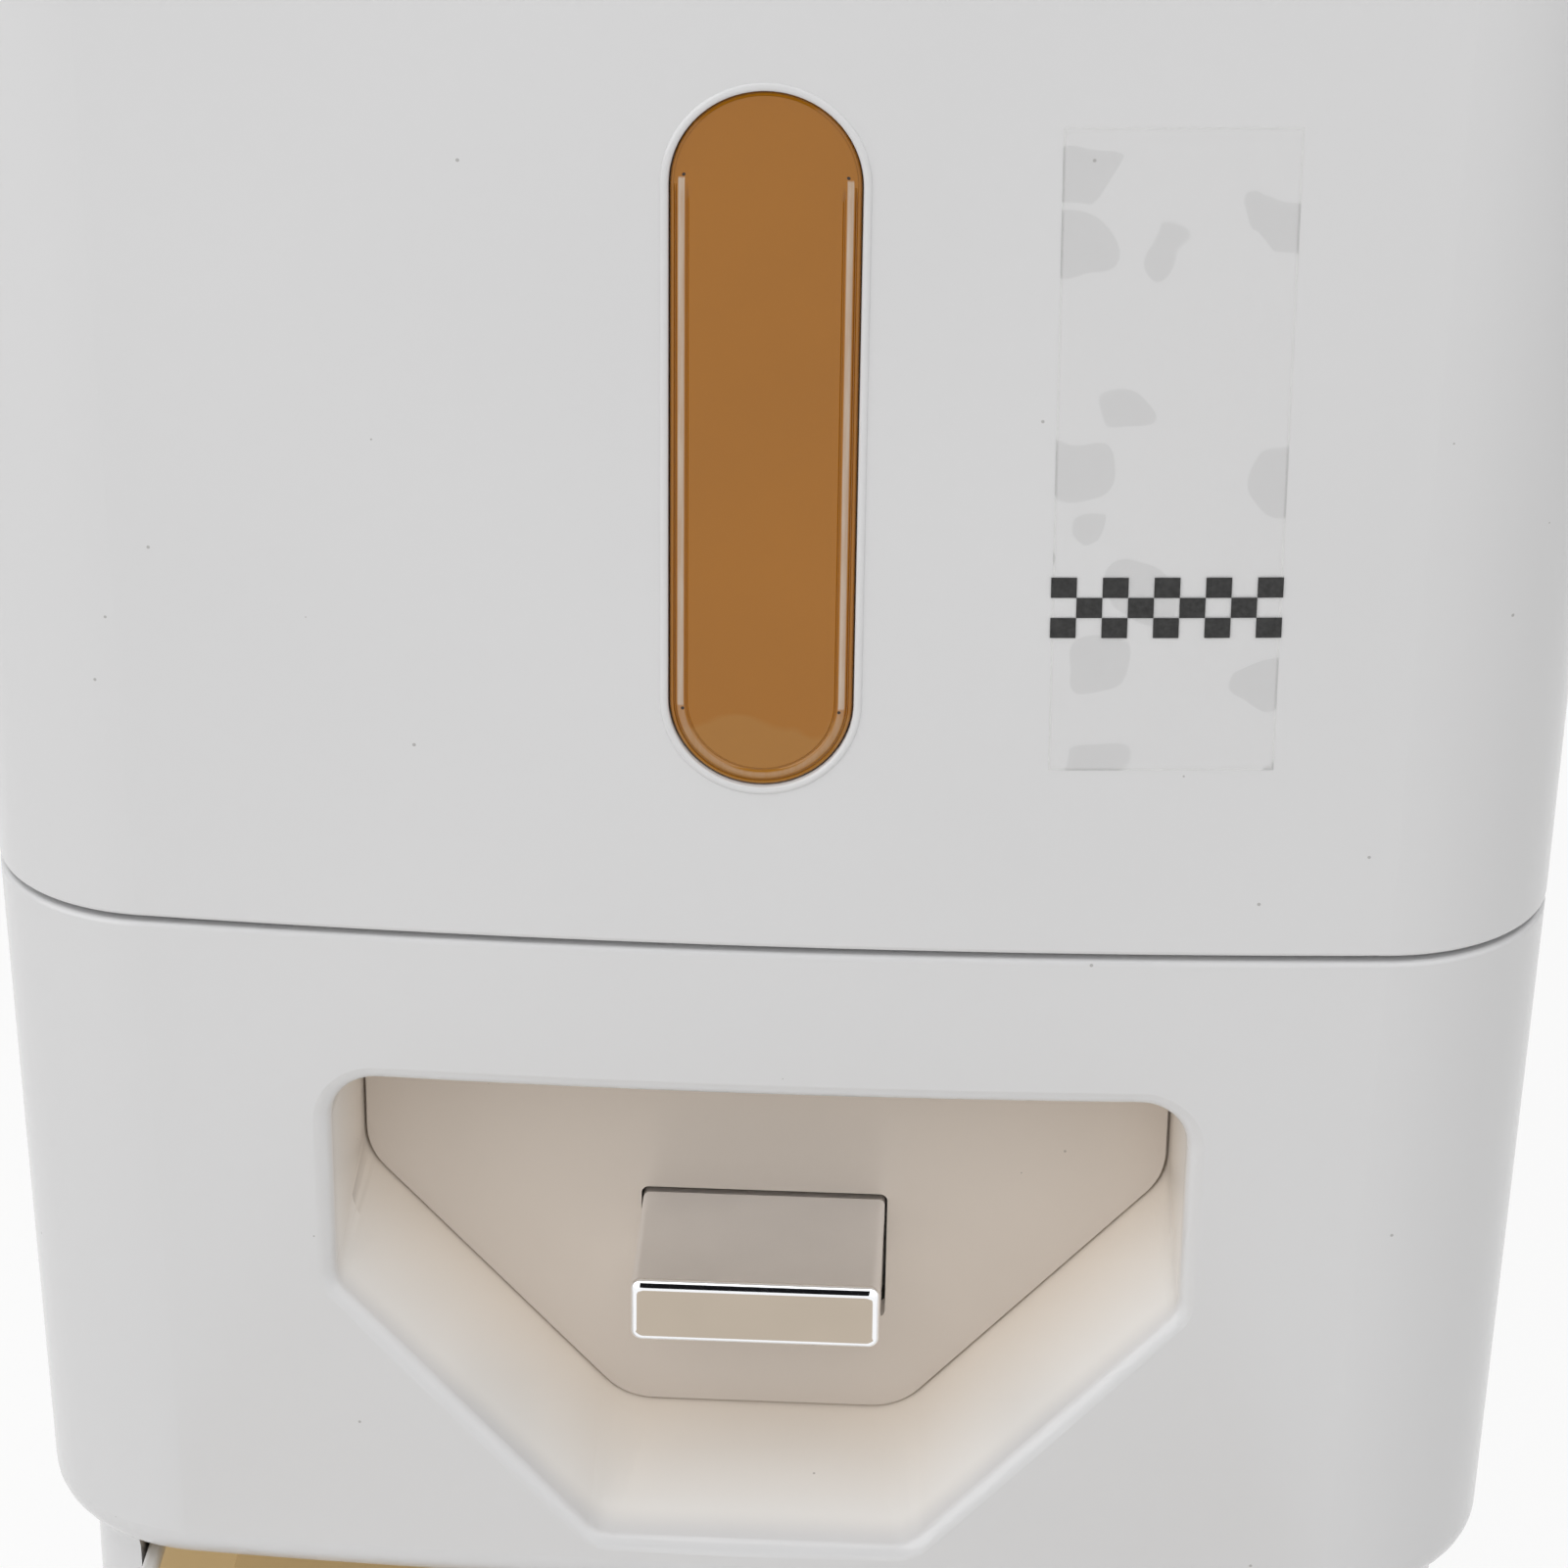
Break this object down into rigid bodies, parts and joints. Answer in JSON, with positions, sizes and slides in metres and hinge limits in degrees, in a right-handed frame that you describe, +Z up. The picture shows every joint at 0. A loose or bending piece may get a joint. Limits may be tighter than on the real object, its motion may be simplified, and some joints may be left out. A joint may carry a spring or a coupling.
{
  "type": "rice container",
  "caption": "Upright rice container: a hinged lid and hopper with a level window over a base whose push lever drops one dose of grain through sliding gates into a drawer.",
  "frame": {"origin": "centre of the object's box, on the plane of its feet", "axes": "+Z up, front with the lever towards -Y, +X to the right seen from the front"},
  "size_m": [0.2002, 0.2723, 0.3365],
  "materials": {
    "shell_white": "gloss moulded ABS, warm white",
    "plate_cream": "gloss moulded ABS, cream white",
    "inner_white": "satin moulded polypropylene",
    "gate_acetal": "satin acetal",
    "drawer_white": "gloss moulded polypropylene",
    "window_amber": "clear tinted styrene",
    "lever_chrome": "bright plating",
    "steel": "zinc-plated steel",
    "foot_rubber": "matte rubber",
    "silicone": "translucent silicone"
  },
  "bodies": {
    "base": {"base_shell": "shell_white", "recess_plate": "plate_cream", "chassis_plate": "inner_white", "bottom_plate": "inner_white", "foot_front_left": "foot_rubber", "foot_front_right": "foot_rubber", "foot_rear_left": "foot_rubber", "foot_rear_right": "foot_rubber", "measure_chamber": "inner_white", "lever_axle": "steel", "axle_clips": "steel", "return_spring": "steel", "hopper_shell": "shell_white", "hopper_funnel": "inner_white", "window_pane": "window_amber", "hinge_pin_left": "steel", "hinge_pin_right": "steel", "bottom_screws": "steel", "chassis_screws": "steel", "chamber_screws": "steel"},
    "lever": {"lever_arm": "gate_acetal", "lever_cap": "lever_chrome"},
    "gate": {"gate_frame": "gate_acetal"},
    "drawer": {"drawer_tray": "drawer_white"},
    "lid": {"lid_shell": "shell_white", "lid_liner": "inner_white", "lid_gasket": "silicone", "lid_screws": "steel"}
  },
  "joints": [
    {"name": "lever_press", "type": "hinge", "parent": "base", "child": "lever", "pos_m": [0, -0.09385, 0.0905], "axis": [1, 0, 0], "range_deg": [0, 28], "stiffness_Nm_per_rad": 0.35, "springref_deg": -14.32},
    {"name": "gate_slide", "type": "slide", "parent": "base", "child": "gate", "axis": [0, 1, 0], "range_m": [0, 0.0145], "deforming": ["return_spring"]},
    {"name": "drawer_pull", "type": "slide", "parent": "base", "child": "drawer", "axis": [0, -1, 0], "range_m": [0, 0.14]},
    {"name": "lid_lift", "type": "hinge", "parent": "base", "child": "lid", "pos_m": [0, 0.13215, 0.3149], "axis": [-1, 0, 0], "range_deg": [0, 100]}
  ],
  "couplings": [
    {"joint": "gate_slide", "follows": "lever_press", "m_per_rad": 0.029532}
  ]
}
